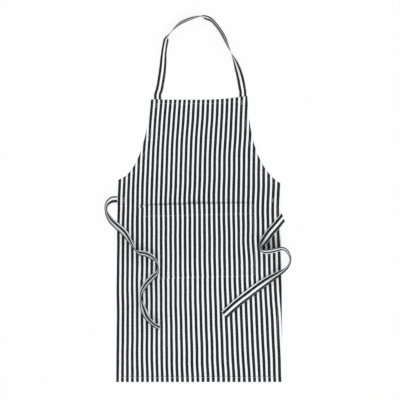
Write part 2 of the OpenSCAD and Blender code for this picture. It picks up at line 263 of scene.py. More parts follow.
def panel_base(x, y):
    """Height of the body panel's underside at a place on the table."""
    sy = straight_y(x, y)
    inner = edge_distance(x, sy)
    over_hem = 1 - smooth_step(HEM - 0.3, HEM + 1.2, inner)
    pucker = 0.10 * np.sin((x + 1.7 * y) * 0.62) * np.exp(-(((inner - STITCH_IN) / 3.5) ** 2))
    rolled = 0.75 * np.exp(-((inner / 0.8) ** 2))
    return lift(x, y) + TURNED * over_hem + TURNED * tape_under(x, y) + pucker - rolled


def panel_top(x, y):
    """Height of the body panel's front, dented along its stitching."""
    sy = straight_y(x, y)
    inner = edge_distance(x, sy)
    dent = 0.22 * np.exp(-(((inner - STITCH_IN) / 0.8) ** 2))
    return panel_base(x, y) + LAYER - dent


def pocket_uv(x, y):
    """Where a point lies on the pocket: u from its middle, v down from its mouth."""
    dx, dy = x - POCKET_X, y + POCKET_DROP
    c, s = math.cos(POCKET_TILT), math.sin(POCKET_TILT)
    return c * dx + s * dy, -(c * dy - s * dx)


def pocket_place(u, v):
    """Where the pocket's point u, v lies on the table."""
    c, s = math.cos(POCKET_TILT), math.sin(POCKET_TILT)
    return POCKET_X + c * u + s * v, -POCKET_DROP + s * u - c * v


GAPE = 5.8                # how far the pocket's mouth stands off the body
MOUTH_WAVES = 1.3


def pocket_rise(u, v):
    """How far the pocket's cloth stands off the body's."""
    across = np.maximum(0, 1 - (2 * u / POCKET_W) ** 2)
    down = np.maximum(0, 1 - (v / POCKET_H) ** 2)
    ripple = MOUTH_WAVES * (np.sin(u * 0.047 + 0.8) + 0.6 * np.sin(u * 0.083 + 2.0))
    near_mouth = np.exp(-np.maximum(0, v) / 60)
    return across * down * (GAPE + ripple * near_mouth)


def pocket_base(u, v):
    """Height of the pocket panel's underside; its turnings and mouth hem lie beneath."""
    x, y = pocket_place(u, v)
    side = POCKET_W / 2 - np.abs(u)
    end = POCKET_H - v
    rim = np.minimum(side, end)
    turned = np.maximum(1 - smooth_step(TURNING - 0.3, TURNING + 1.0, rim),
                        1 - smooth_step(MOUTH_HEM - 0.3, MOUTH_HEM + 1.0, v))
    rolled = 0.4 * np.exp(-((np.minimum(rim, v) / 0.7) ** 2))
    pucker = 0.12 * np.sin((u - v) * 0.55) * np.exp(-(((rim - SEAM_IN) / 4) ** 2))
    body = lift(x, y) + LAYER
    return body + 0.1 + LAYER * turned + pocket_rise(u, v) + pucker - rolled


def pocket_top(u, v):
    side = POCKET_W / 2 - np.abs(u)
    rim = np.minimum(side, POCKET_H - v)
    dent = 0.2 * np.exp(-(((rim - SEAM_IN) / 0.8) ** 2))
    dent = dent + 0.2 * np.exp(-(((v - MOUTH_HEM + SEAM_IN) / 0.8) ** 2))
    return pocket_base(u, v) + LAYER - dent


def soft_plus(x, soft):
    return soft * np.log1p(np.exp(np.clip(x / soft, -40, 40)))


def bump(x, y, at_x, at_y, wide, tall):
    """A smooth hill, 1 at its top."""
    return np.exp(-(((x - at_x) / wide) ** 2) - ((y - at_y) / tall) ** 2)


def stripe_shift(x, y):
    """How far the cloth's stripes lie to the right of an even spacing, as the cloth was laid."""
    bib = 0.032 * soft_plus(y - 112, 14) + 0.025 * soft_plus(y + 50, 12)
    skirt = 0.010 * soft_plus(-y - 50, 10) + 0.022 * soft_plus(-y - 330, 25)
    left = 9 * (np.maximum(0, -x - 20) / 250) ** 2
    right = (np.maximum(0, x) / 220) ** 2
    right = right * (3.6 * smooth_step(-110, 20, y) + 2.0 * smooth_step(250, 520, -y))
    pulled = (-2.9 * bump(x, y, 165, -188, 42, 45) + 1.3 * bump(x, y, -100, 5, 75, 45)
              + 1.5 * bump(x, y, -140, -210, 80, 80) + 1.4 * bump(x, y, -160, -380, 80, 60)
              + 0.8 * bump(x, y, 110, 170, 60, 90) - 0.7 * bump(x, y, 70, -380, 130, 70)
              - 0.5 * bump(x, y, 30, -190, 80, 70) + 0.6 * bump(x, y, -235, -360, 30, 80)
              - 1.0 * bump(x, y, 190, -455, 50, 35))
    foot = smooth_step(560, 625, -y) * (1.8 - 3.2 * smooth_step(150, 250, np.abs(x)))
    wander = 0.35 * np.sin(y / 31 + x / 83) + 0.22 * np.sin(y / 17 - x / 47 + 1.1)
    return bib + skirt + 0.2 + left + right + pulled + foot + wander


def cloth_uv(x, y):
    """The body cloth's own coordinates, in stripe pitches across and along."""
    return np.stack([(x - stripe_shift(x, y)) / STRIPE_PITCH, y / STRIPE_PITCH], -1)


def pocket_cloth_uv(u, v):
    x, y = pocket_place(u, v)
    uv = cloth_uv(x, y)
    uv[..., 0] -= 1.2 / STRIPE_PITCH * np.clip(0.5 - u / 340, 0, 1)
    corner = np.exp(-(((u + POCKET_W / 2 - 9) / 9) ** 2) - (v / 3.6) ** 2)
    uv[..., 0] += 0.42 * corner
    return uv


# ---- making meshes ----
def link(name, vertices, faces, uvs, material, body=None):
    """A smooth mesh object from points in mm; uvs is one pair per vertex."""
    mesh = bpy.data.meshes.new(name)
    points = np.asarray(vertices, float) * MM
    mesh.from_pydata(points.tolist(), [], [tuple(int(i) for i in f) for f in faces])
    if uvs is not None:
        layer = mesh.uv_layers.new(name="cloth")
        index = np.zeros(len(mesh.loops), np.int32)
        mesh.loops.foreach_get("vertex_index", index)
        layer.data.foreach_set("uv", np.asarray(uvs, np.float32)[index].ravel())
    mesh.polygons.foreach_set("use_smooth", [True] * len(mesh.polygons))
    mesh.materials.append(material)
    mesh.update()
    piece = bpy.data.objects.new(name, mesh)
    bpy.context.scene.collection.objects.link(piece)
    if body:
        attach(piece, body)
    return piece


def slab(name, top, bottom, uv, material, body="apron"):
    """A closed cloth from matching grids of top and bottom points."""
    rows, columns = top.shape[:2]
    count = rows * columns
    index = np.arange(count).reshape(rows, columns)
    a, b = index[:-1, :-1].ravel(), index[:-1, 1:].ravel()
    c, d = index[1:, 1:].ravel(), index[1:, :-1].ravel()
    upper = np.stack([a, d, c, b], -1)
    lower = np.stack([a, b, c, d], -1) + count
    rim = np.concatenate([index[0, :-1], index[:-1, -1], index[-1, :0:-1], index[:0:-1, 0]])
    after = np.roll(rim, -1)
    wall = np.stack([rim, after, after + count, rim + count], -1)
    across = top[0, -1, :2] - top[0, 0, :2]
    along = top[-1, 0, :2] - top[0, 0, :2]
    if across[0] * along[1] - across[1] * along[0] > 0:
        upper, lower, wall = upper[:, ::-1], lower[:, ::-1], wall[:, ::-1]
    points = np.concatenate([top.reshape(-1, 3), bottom.reshape(-1, 3)])
    uvs = np.concatenate([uv.reshape(-1, 2), uv.reshape(-1, 2)])
    return link(name, points, np.concatenate([upper, lower, wall]), uvs, material, body)


# ---- materials ----
def mark_painted_shade(piece, values):
    """Records how much painted shade greys each point of a tape."""
    layer = piece.data.attributes.new("painted_shade", "FLOAT", "POINT")
    layer.data.foreach_set("value", np.asarray(values, np.float32).ravel())


class Nodes:
    """A short way to write a material's node tree."""

    def __init__(self, name):
        self.material = bpy.data.materials.new(name)
        self.material.use_nodes = True
        self.tree = self.material.node_tree
        self.shader = self.tree.nodes["Principled BSDF"]

    def add(self, kind, inputs=(), **settings):
        node = self.tree.nodes.new(kind)
        for key, value in settings.items():
            setattr(node, key, value)
        for key, value in dict(inputs).items():
            self.put(node.inputs[key], value)
        return node

    def put(self, socket, value):
        if isinstance(value, bpy.types.NodeSocket):
            self.tree.links.new(value, socket)
        else:
            socket.default_value = value

    def math(self, operation, a, b=0.0, c=0.0):
        node = self.add("ShaderNodeMath", {0: a, 1: b, 2: c}, operation=operation)
        return node.outputs[0]

    def step(self, value, low, high, to_low=0.0, to_high=1.0):
        """A smooth step of value from low to high."""
        node = self.add(
            "ShaderNodeMapRange",
            {"Value": value, "From Min": low, "From Max": high, "To Min": to_low, "To Max": to_high},
            interpolation_type="SMOOTHSTEP",
        )
        return node.outputs["Result"]

    def stretched(self, u, v, across, along):
        """A place on the cloth, scaled by its own share each way."""
        ends = {"X": self.math("MULTIPLY", u, across), "Y": self.math("MULTIPLY", v, along)}
        return self.add("ShaderNodeCombineXYZ", ends).outputs[0]

    def noise(self, vector, scale, detail=2.0, rough=0.5):
        node = self.add(
            "ShaderNodeTexNoise",
            {"Vector": vector, "Scale": scale, "Detail": detail, "Roughness": rough},
        )
        return node.outputs["Fac"]

    def mix(self, share, a, b, blend="MIX"):
        node = self.add("ShaderNodeMix", data_type="RGBA", blend_type=blend)
        self.put(node.inputs["Factor"], share)
        for key, value in (("A", a), ("B", b)):
            socket = [s for s in node.inputs if s.name == key and s.type == "RGBA"][0]
            self.put(socket, value)
        return [s for s in node.outputs if s.type == "RGBA"][0]


DARK_YARN = (0.0092, 0.0098, 0.0128, 1)
WORN_YARN = (0.0250, 0.0262, 0.0330, 1)
WHITE_YARN = (0.868, 0.873, 0.900, 1)
# white yarn greyed by weft slubs, real tone, and by painted shade in the weave's hollows
SLUB_AND_HOLLOW_SHADE_YARN = (0.745, 0.750, 0.775, 1)
# the grey that painted shade gives a tape's white yarn
PAINTED_SHADE_YARN = (0.200, 0.204, 0.215, 1)
NEW_THREAD = (0.86, 0.86, 0.87, 1)
GREY_THREAD = (0.66, 0.66, 0.68, 1)
YARNS_PER_PITCH = 32.0    # warp yarns in one stripe pitch


def cotton(name, stripe, roughness=0.86, sheen=0.05, painted_shade=False):
    """Woven striped cotton. stripe(nodes, u, v) gives how far a place is from a dark stripe's
    edge, in stripe pitches, above 0 inside the stripe."""
    n = Nodes(name)
    place = n.add("ShaderNodeUVMap", uv_map="cloth").outputs["UV"]
    split = n.add("ShaderNodeSeparateXYZ", {"Vector": place}).outputs
    u, v = split["X"], split["Y"]

    # each warp yarn wanders a little, and the stripe's edge goes with it
    wander = n.math("SUBTRACT", n.noise(n.stretched(u, v, 2.0, 0.35), 3.0), 0.5)
    wander = n.math("MULTIPLY", wander, 0.05)
    inside = stripe(n, n.math("ADD", u, wander), v)
    dark = n.step(inside, -0.012, 0.012)

    # plain weave: warp over weft, then weft over warp
    turn = math.pi * YARNS_PER_PITCH
    warp = n.math("SINE", n.math("MULTIPLY", u, turn))
    weft = n.math("SINE", n.math("MULTIPLY", v, turn))
    over = n.math("MULTIPLY", warp, weft)
    crest = n.math("ABSOLUTE", over)
    flecks = n.step(over, 0.2, 0.9)

    # slubs run along the warp yarns and across them
    slub = n.noise(n.stretched(u, v, 9.0, 0.6), 2.2, 3.0)
    cross = n.noise(n.stretched(u, v, 0.6, 9.0), 2.0, 3.0)
    patchy = n.noise(place, 0.35, 3.0, 0.6)

    worn = n.math("MULTIPLY", flecks, n.step(slub, 0.35, 0.75))
    worn = n.math("ADD", n.math("MULTIPLY", worn, 0.45),
                  n.math("MULTIPLY", n.step(patchy, 0.45, 0.8), 0.20))
    black = n.mix(n.math("MINIMUM", worn, 1.0), DARK_YARN, WORN_YARN)
    # whites grey along weft slubs, real tone, and in the weave's hollows between crossings, painted shade
    slub_tone_and_hollow_shade = n.math("ADD", n.math("MULTIPLY", n.step(cross, 0.40, 0.85), 0.22),
                  n.math("MULTIPLY", n.math("SUBTRACT", 1.0, crest), 0.30))
    white = n.mix(n.math("MINIMUM", slub_tone_and_hollow_shade, 1.0), WHITE_YARN, SLUB_AND_HOLLOW_SHADE_YARN)
    # painted shade: a tape's white greys by its attribute's share, mostly where it stands on its edge
    if painted_shade:
        painted_shade_share = n.add("ShaderNodeAttribute", attribute_name="painted_shade").outputs["Fac"]
        white = n.mix(painted_shade_share, white, PAINTED_SHADE_YARN)
    n.put(n.shader.inputs["Base Color"], n.mix(dark, white, black))

    rough = n.math("ADD", n.math("MULTIPLY", slub, 0.10), roughness - 0.05)
    n.put(n.shader.inputs["Roughness"], rough)
    n.shader.inputs["Specular IOR Level"].default_value = 0.25
    n.shader.inputs["Sheen Weight"].default_value = sheen
    n.shader.inputs["Sheen Roughness"].default_value = 0.55

    height = n.math("ADD", n.math("MULTIPLY", crest, 0.6), n.math("MULTIPLY", slub, 0.5))
    height = n.math("ADD", height, n.math("MULTIPLY", cross, 0.4))
    weave = n.add("ShaderNodeBump", {"Height": height, "Strength": 0.35, "Distance": 0.00016})
    crumple = n.add("ShaderNodeBump", {
        "Height": n.noise(place, 0.9, 4.0, 0.55), "Strength": 0.35, "Distance": 0.0016,
        "Normal": weave.outputs["Normal"],
    })
    n.put(n.shader.inputs["Normal"], crumple.outputs["Normal"])
    return n.material


def cloth_stripe(n, u, v):
    """Dark stripes at whole numbers of pitches, a little wider at the waist, where the widening paints the
    broad shade over the waist and pocket.
    """
    half = STRIPE_DARK / 2
    waist = n.step(v, -290 / STRIPE_PITCH, -225 / STRIPE_PITCH, half, half + 0.014)
    bib = n.step(v, -10 / STRIPE_PITCH, 60 / STRIPE_PITCH, 0.0, 0.008)
    return n.math("SUBTRACT", n.math("SUBTRACT", waist, bib), n.math("PINGPONG", u, 0.5))


def tape_stripe(n, u, v):
    """Two dark stripes along the tape, either side of its middle."""
    off = n.math("ABSOLUTE", n.math("SUBTRACT", n.math("ABSOLUTE", u), TAPE_STRIPE / STRIPE_PITCH))
    return n.math("SUBTRACT", TAPE_DARK / 2 / STRIPE_PITCH, off)


def sewing_thread():
    n = Nodes("sewing_thread")
    place = n.add("ShaderNodeTexCoord").outputs["Object"]
    twist = n.add("ShaderNodeTexWave", {"Vector": place, "Scale": 900.0, "Distortion": 1.5},
                  bands_direction="DIAGONAL").outputs["Fac"]
    grubby = n.noise(place, 60.0, 3.0)
    # the thread greys in bands along its twist, painted shade in the grooves between its plies, and in
    # grubby patches of dirt
    grey = n.math("MULTIPLY", n.math("ADD", twist, grubby), 0.4)
    n.put(n.shader.inputs["Base Color"], n.mix(grey, NEW_THREAD, GREY_THREAD))
    n.put(n.shader.inputs["Roughness"], n.math("ADD", n.math("MULTIPLY", grubby, 0.2), 0.45))
    n.shader.inputs["Sheen Weight"].default_value = 0.1
    bump = n.add("ShaderNodeBump", {"Height": twist, "Strength": 0.4, "Distance": 0.0001})
    n.put(n.shader.inputs["Normal"], bump.outputs["Normal"])
    return n.material


CLOTH = cotton("striped_cotton", cloth_stripe)
TURNED_CLOTH = cotton("striped_cotton_turned", cloth_stripe, roughness=0.9, sheen=0.04)
TAPE = cotton("striped_cotton_tape", tape_stripe, roughness=0.84, painted_shade=True)
THREAD = sewing_thread()


# ---- tapes ----
CLOTH_CLEAR = 2 * TURNED + LAYER + 0.35    # height at which a tape clears the body
POCKET_CLEAR = 0.9                         # what the pocket's edge adds to it
RAMP, RAMP_OUT = 12.0, 10.0                # a tape climbs over RAMP, until RAMP_OUT outside the edge
CROSSING_Y = -100.0                        # the ties cross the side edges below this


def tape_z(x, y, roll):
    """Height of a tape's middle, resting on what is under it."""
    u, v = pocket_uv(x, y)
    on_pocket = (np.abs(u) < POCKET_W / 2) & (v > 0) & (v < POCKET_H)
    soft_edge = smooth_step(0, 6, POCKET_W / 2 - np.abs(u)) * smooth_step(0, 6, POCKET_H - v)
    pocket = np.where(on_pocket, (POCKET_CLEAR + pocket_rise(u, v)) * soft_edge, 0)
    climb = np.clip((side_x(y) + RAMP_OUT + RAMP - np.abs(x)) / RAMP, 0, 1)
    body = np.where(y > CROSSING_Y, 0, climb * (CLOTH_CLEAR + lift(x, y)))
    roll = np.radians(roll)
    return body + pocket + TAPE_W / 2 * np.abs(np.sin(roll)) + TURNED / 2 * np.abs(np.cos(roll))


def through(route, parts):
    """A smooth curve through every point of a route, with even parts between neighbours."""
    p = np.array(route, float)
    p = np.vstack([p[:1], p, p[-1:]])
    t = np.arange(parts)[:, None] / parts
    out = []
    for a, b, c, d in zip(p[:-3], p[1:-2], p[2:-1], p[3:]):
        out.append(0.5 * (2 * b + (c - a) * t + (2 * a - 5 * b + 4 * c - d) * t**2
                          + (3 * b - a - 3 * c + d) * t**3))
    return np.vstack(out + [p[-1:]])


def distances(points):
    """How far along a line each of its points is."""
    return np.concatenate([[0], np.cumsum(np.linalg.norm(np.diff(points, axis=0), axis=1))])


def even(line, step):
    """The same line with points at even steps along it."""
    far = distances(line[:, :3])
    count = max(2, int(round(far[-1] / step)) + 1)
    at = np.linspace(0, far[-1], count)
    return np.stack([np.interp(at, far, line[:, k]) for k in range(line.shape[1])], -1)


def frames(line, skew=0.0, skew_over=20.0):
    """Along, across and out directions at each point of a tape's line of x, y, z, roll.
    skew leans the first rings along the tape, where it starts at a slanting fold."""
    p = line[:, :3]
    along = np.gradient(p, axis=0)
    along /= np.linalg.norm(along, axis=1, keepdims=True)
    level = np.stack([-along[:, 1], along[:, 0], 0 * along[:, 0]], -1)
    level /= np.linalg.norm(level, axis=1, keepdims=True)
    up = np.cross(along, level)
    roll = np.radians(line[:, 3:4])
    wide = np.cos(roll) * level + np.sin(roll) * up
    out = np.cross(along, wide)
    far = distances(p)
    lean = skew * np.clip(1 - far / skew_over, 0, 1)[:, None]
    return p, wide + lean * along, out, far


# places across a tape, from one edge to the other
SECTION_ACROSS = np.array([-1, -0.985, -0.93, -0.8, -0.6, -0.4, -0.2, 0, 0.2, 0.4, 0.6, 0.8, 0.93, 0.985, 1])


def half_thickness():
    """Half a tape's thickness at each place across it, less at its rounded edges."""
    edge = 1 - np.abs(SECTION_ACROSS)
    return 0.5 * TURNED * np.minimum(1, 0.45 + edge / 0.03)


def cupping(far, phase):
    """How much a tape cups along it, less at its two ends."""
    cup = 0.55 * np.sin(far / 41 + phase) + 0.35 * np.sin(far / 23 + 2.1 * phase)
    return cup * smooth_step(25, 60, far) * smooth_step(25, 60, far[-1] - far)


def tape_section(far, phase):
    """Across and out offsets round a tape at each place along it: a flat folded tape whose
    faces dip at its edge stitching and which cups a little, more in some places."""
    s = SECTION_ACROSS
    edge = 1 - np.abs(s)
    half = half_thickness() - 0.13 * np.exp(-(((edge * TAPE_W / 2 - 1.9) / 0.8) ** 2))
    bow = cupping(far, phase)[:, None] * (s**2 - 0.4)[None, :]
    waver = 0.25 * np.sin(far / 9 + phase) + 0.2 * np.sin(far / 5.3 + 3 * phase)
    waver = waver[:, None] * np.sign(s) * s**2
    across = s * TAPE_W / 2 + 0.5 * waver
    top = bow + half
    under = bow - half
    return (np.concatenate([across, across[:, ::-1]], 1), np.concatenate([top, under[:, ::-1]], 1))


def tape_rings(line, phase, aside, painted_shade, skew=0.0):
    """Every ring of a tape's surface, its cloth coordinates and how much painted shade greys it."""
    p, wide, out, far = frames(line, skew)
    across, off = tape_section(far, phase)
    rings = p[:, None] + across[..., None] * wide[:, None] + off[..., None] * out[:, None]
    round_it = np.concatenate([SECTION_ACROSS, SECTION_ACROSS[::-1]]) * TAPE_W / 2
    shift = np.interp(far, *np.transpose(aside)) + 0.5 * np.sin(far / 37 + phase)
    u = (round_it[None, :] - shift[:, None]) / STRIPE_PITCH
    uv = np.stack(np.broadcast_arrays(u, far[:, None] / STRIPE_PITCH), -1)
    grey = np.broadcast_to(np.interp(far, *np.transpose(painted_shade))[:, None], u.shape)
    return rings, uv, grey


def loft(name, rings, uv, material, body=None):
    """A closed tube through rings of points, with capped ends."""
    count, sides = rings.shape[:2]
    index = np.arange(count * sides).reshape(count, sides)
    turned = np.roll(index, -1, axis=1)
    walls = np.stack([index[:-1], index[1:], turned[1:], turned[:-1]], -1).reshape(-1, 4)
    half = sides // 2
    caps = []
    for ring, flip in ((index[0], False), (index[-1], True)):
        for k in range(half - 1):
            cap = (ring[k], ring[k + 1], ring[sides - 2 - k], ring[sides - 1 - k])
            caps.append(cap[::-1] if flip else cap)
    return link(name, rings.reshape(-1, 3), np.concatenate([walls, np.array(caps)]), uv.reshape(-1, 2),
                material, body)


STITCH_LONG, STITCH_PITCH, STITCH_WIDE = 2.6, 3.3, 0.52
# a stitch's shape: place along it, thickness and rise
STITCH_PROFILE = (
    (0.0, 0.30, -0.30), (0.12, 0.85, -0.02), (0.5, 1.0, 0.07), (0.88, 0.85, -0.02), (1.0, 0.30, -0.30),
)


def point_at(at, far, points):
    return np.array([np.interp(at, far, points[:, k]) for k in range(3)])


def stitch_mesh(runs, long=STITCH_LONG, pitch=STITCH_PITCH, wide=STITCH_WIDE, seed=1):
    """Points and faces of separate stitches along runs of (points, outward directions)."""
    chance = random.Random(seed)
    vertices, faces = [], []
    sides = 6
    for line, outs in runs:
        far = distances(line)
        count = int((far[-1] - 0.5) // pitch)
        for i in range(count):
            start = (far[-1] - count * pitch) / 2 + i * pitch + chance.uniform(-0.12, 0.12)
            first = len(vertices)
            aside = chance.uniform(-0.06, 0.06)
            for share, thick, rise in STITCH_PROFILE:
                at = start + share * long
                p = point_at(at, far, line)
                ahead = point_at(at + 0.5, far, line) - point_at(at - 0.5, far, line)
                out = point_at(at, far, outs)
                along = ahead / max(np.linalg.norm(ahead), 1e-6)
                side = np.cross(along, out)
                side /= max(np.linalg.norm(side), 1e-6)
                up = np.cross(side, along)
                for k in range(sides):
                    turn = 2 * math.pi * k / sides
                    w = 0.5 * wide * thick
                    sideways = aside + w * math.cos(turn)
                    vertices.append(p + side * sideways + up * (rise + 0.8 * w * math.sin(turn)))
            rings = len(STITCH_PROFILE)
            for j in range(rings - 1):
                for k in range(sides):
                    a = first + j * sides + k
                    b = first + j * sides + (k + 1) % sides
                    faces.append((a, b, b + sides, a + sides))
            faces.append(tuple(first + k for k in reversed(range(sides))))
            faces.append(tuple(first + (rings - 1) * sides + k for k in range(sides)))
    return vertices, faces


def stitches(name, runs, body="apron", **settings):
    vertices, faces = stitch_mesh(runs, **settings)
    return link(name, vertices, faces, None, THREAD, body)


def tape_stitch_runs(line, phase, skew=0.0, edge=1.9):
    """Edge stitching down both edges of a tape, on both faces."""
    p, wide, out, far = frames(line, skew)
    cup = cupping(far, phase)
    runs = []
    for side in (-1, 1):
        s = side * (1 - edge / (TAPE_W / 2))
        for face in (-1, 1):
            off = cup * (s * s - 0.4) + face * (0.5 * TURNED - 0.06)
            runs.append((p + s * TAPE_W / 2 * wide + off[:, None] * out, face * out))
    return runs


STEP = 2.5


def strap_line():
    left, right = STRAP_X
    low, right_low = (BIB_H + askew(x, BIB_H) - SEWN_END for x in STRAP_X)
    start = [(left, low, 0), (left, low + 18, 0)]
    end = [(right, right_low + 18, 0), (right, right_low, 0)]
    line = through(start + STRAP_ROUTE + end, 8)
    z = tape_z(line[:, 0], line[:, 1], line[:, 2])
    # the sewn ends lie under the bib's cloth, which the waves lift
    sewn = lift(line[:, 0], line[:, 1]) * (1 - smooth_step(295, 340, line[:, 1]))
    return even(np.column_stack([line[:, :2], z + sewn, line[:, 2]]), STEP)


def tie_line(route, sewn=()):
    line = through(list(sewn) + route, 8)
    z = tape_z(line[:, 0], line[:, 1], line[:, 2])
    return even(np.column_stack([line[:, :2], z, line[:, 2]]), STEP)


def make_neck_strap():
    line = strap_line()
    rings, uv, grey = tape_rings(line, STRAP_PHASE, STRAP_ASIDE, STRAP_PAINTED_SHADE)
    strap = loft("neck_strap_tape", rings, uv, TAPE)
    mark_painted_shade(strap, grey)
    sewing = stitches("neck_strap_edge_stitching", tape_stitch_runs(line, STRAP_PHASE), None, seed=11)
    for piece in (strap, sewing):
        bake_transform(piece)
    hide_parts("neck_strap", "neck_strap_end_left", "neck_strap_end_right")


LEFT_ROOT_Y = -64.0        # the left tie's stretch piece ends where it comes down past this


def make_left_tie():
    inner = -side_x(TIE_Y) + SEWN_END
    sewn = [(inner, TIE_Y, 0), (inner - 15, TIE_Y, 0)]
    line = tie_line(TIE_LEFT_ROUTE, sewn)
    under = lift(line[:, 0], line[:, 1]) * (line[:, 1] > CROSSING_Y) * smooth_step(-300, -270, line[:, 0])
    line[:, 2] += under
    cut = int(np.argmax(line[:, 1] < LEFT_ROOT_Y))
    rings, uv, grey = tape_rings(line, TIE_LEFT_PHASE, TIE_LEFT_ASIDE, TIE_LEFT_PAINTED_SHADE)
    root = loft("waist_tie_left_root", rings[:cut + 1], uv[:cut + 1], TAPE)
    tape = loft("waist_tie_left_tape", rings[cut:], uv[cut:], TAPE, "tie_left")
    mark_painted_shade(root, grey[:cut + 1])
    mark_painted_shade(tape, grey[cut:])
    runs = tape_stitch_runs(line, TIE_LEFT_PHASE)
    root_runs = [(points[:cut + 1], outs[:cut + 1]) for points, outs in runs]
    tape_runs = [(points[cut:], outs[cut:]) for points, outs in runs]
    root_sewing = stitches("waist_tie_left_root_stitching", root_runs, None, seed=12)
    sewing = stitches("waist_tie_left_edge_stitching", tape_runs, "tie_left", seed=13)
    for piece in (root, root_sewing):
        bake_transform(piece)
    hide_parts("waist_tie_end_left")
    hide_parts("waist_tie_left")


FOLD_SLANT = 0.62          # how far the right tie's fold leans along it, to its width


def make_right_tie():
    line = tie_line(TIE_RIGHT_ROUTE)
    rings, uv, grey = tape_rings(line, TIE_RIGHT_PHASE, TIE_RIGHT_ASIDE, TIE_RIGHT_PAINTED_SHADE, FOLD_SLANT)
    tape = loft("waist_tie_right_tape", rings, uv, TAPE, "tie_right")
    mark_painted_shade(tape, grey)
    runs = tape_stitch_runs(line, TIE_RIGHT_PHASE, skew=FOLD_SLANT)
    sewing = stitches("waist_tie_right_edge_stitching", runs, "tie_right", seed=14)
    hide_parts("waist_tie_right")
    return rings


make_neck_strap()
make_left_tie()
RIGHT_RINGS = make_right_tie()


def make_right_end():
    """The right tie's sewn end behind the side hem: level, then down to the arm that comes out."""
    half = TAPE_W / 2
    right = side_x(TIE_Y)
    run = right - RUN_IN
    crossings = np.array([
        ((right - 2, TIE_Y - half), (right - 2, TIE_Y + half)),
        ((run + TAPE_W, TIE_Y - half), (run, TIE_Y + half)),
        ((run + TAPE_W, EXIT_Y + half), (run, EXIT_Y - half)),
    ])
    t = np.linspace(0, 2, 33)
    edges = [np.stack([np.interp(t, (0, 1, 2), crossings[:, e, k]) for k in (0, 1)], -1) for e in (0, 1)]
    share = (SECTION_ACROSS / 2 + 0.5)[None, :, None]
    place = edges[0][:, None] * (1 - share) + edges[1][:, None] * share
    middle = lift(place[..., 0], place[..., 1]) + 0.51 * TURNED
    thick = 0.96 * half_thickness()[None, :]
    u = np.broadcast_to(SECTION_ACROSS * half / STRIPE_PITCH, place.shape[:2])
    v = np.broadcast_to((t * 2.6)[:, None], place.shape[:2])
    high = np.concatenate([place, (middle + thick)[..., None]], -1)
    low = np.concatenate([place, (middle - thick)[..., None]], -1)
    end = slab("waist_tie_right_sewn_end", high, low, np.stack([u, v], -1), TAPE)
    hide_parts("waist_tie_end_right")


def make_right_fold():
    """The arm of the right tie that comes out under the edge, and the fold at its end."""
    half = TAPE_W / 2
    run = side_x(TIE_Y) - RUN_IN
    sides = len(SECTION_ACROSS)
    first = RIGHT_RINGS[0]
    middle = (first[:sides] + first[sides:][::-1]) / 2
    crease = middle[-1] - middle[0]
    crease /= np.linalg.norm(crease)
    outward = np.array([abs(crease[1]), abs(crease[0]), 0.0])
    low_z = 0.51 * TURNED
    high_z = float(middle[:, 2].mean())
    radius = (high_z - low_z) / 2
    thick = half_thickness()
    u = np.concatenate([SECTION_ACROSS, SECTION_ACROSS[::-1]]) * half / STRIPE_PITCH
    u = u - TIE_RIGHT_ASIDE[0][1] / STRIPE_PITCH
    level_y = EXIT_Y - half * SECTION_ACROSS * np.sign(middle[0, 1] - middle[-1, 1])
    start_x = run + level_y - EXIT_Y + half
    rings, uvs = [], []
    for share in np.linspace(0, 1, 18):
        x = start_x * (1 - share) + middle[:, 0] * share
        y = level_y * (1 - share) + middle[:, 1] * share
        top = np.stack([x, y, low_z + thick], -1)
        bottom = np.stack([x, y, low_z - thick], -1)
        rings.append(np.concatenate([bottom, top[::-1]]))
        uvs.append(np.stack([u, np.full(len(u), share * 3.0)], -1))
    turns = 12
    for k in range(1, turns + 1):
        turn = math.pi * k / turns
        centre = middle.copy()
        centre[:, 2] = low_z + radius * (1 - math.cos(turn))
        centre += outward * radius * 1.1 * math.sin(turn)
        normal = outward * math.sin(turn) + np.array([0, 0, -math.cos(turn)])
        outer = centre + normal * thick[:, None]
        inner = centre - normal * thick[:, None]
        rings.append(np.concatenate([outer, inner[::-1]]))
        uvs.append(np.stack([u, np.full(len(u), 3.0 + 0.3 * k / turns)], -1))
    fold = loft("waist_tie_right_fold", np.array(rings), np.array(uvs), TAPE)
    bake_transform(fold)


make_right_end()
make_right_fold()


# ---- body panel and hems ----
# rows and columns of the body's mesh lie at these distances from its edges
NEAR_EDGE = [0.0, 0.35, 0.9, 2.0, 5.0, 9.0, 12.2, 13.1, 13.9, 14.7, 15.7, 16.4, 17.4, 19.0, 22.0]


def body_rows():
    """Heights of the body panel's rows, closer at its hems."""
    top = BIB_H - np.array(NEAR_EDGE)
    bottom = -SKIRT_H + np.array(NEAR_EDGE)[::-1]
    between = np.arange(top[-1] - 3.6, bottom[0] + 1.8, -3.6)
    return np.concatenate([top, between, bottom])


def edge_stretch(y, side):
    """How far an edge distance reaches level across, at each row."""
    slope = np.gradient(half_width(y, side), y)
    return np.sqrt(1 + np.minimum(slope**2, 3.2))


def body_grid(spacing=4.0):
    rows = body_rows()
    grid = []
    near = np.array(NEAR_EDGE)
    inner_count = int(WAIST_W / spacing)
    widths = [half_width(rows, side) for side in (0, 1)]
    stretches = [edge_stretch(rows, side) for side in (0, 1)]
    for k, y in enumerate(rows):
        left = -widths[0][k] + near * stretches[0][k]
        right = (widths[1][k] - near * stretches[1][k])[::-1]
        inner = np.linspace(left[-1], right[0], inner_count)[1:-1]
        x = np.concatenate([left, inner, right])
        grid.append(np.stack([x, y + askew(x, y)], -1))
    return np.array(grid)


def cloth_sheet(name, place, base, top, uv, material, body="apron"):
    high = np.concatenate([place, top[..., None]], -1)
    low = np.concatenate([place, base[..., None]], -1)
    return slab(name, high, low, uv, material, body)


def make_body():
    place = body_grid()
    x, y = place[..., 0], place[..., 1]
    panel = cloth_sheet("body_panel_cloth", place, panel_base(x, y), panel_top(x, y), cloth_uv(x, y), CLOTH)
    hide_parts("body_panel")
    return panel


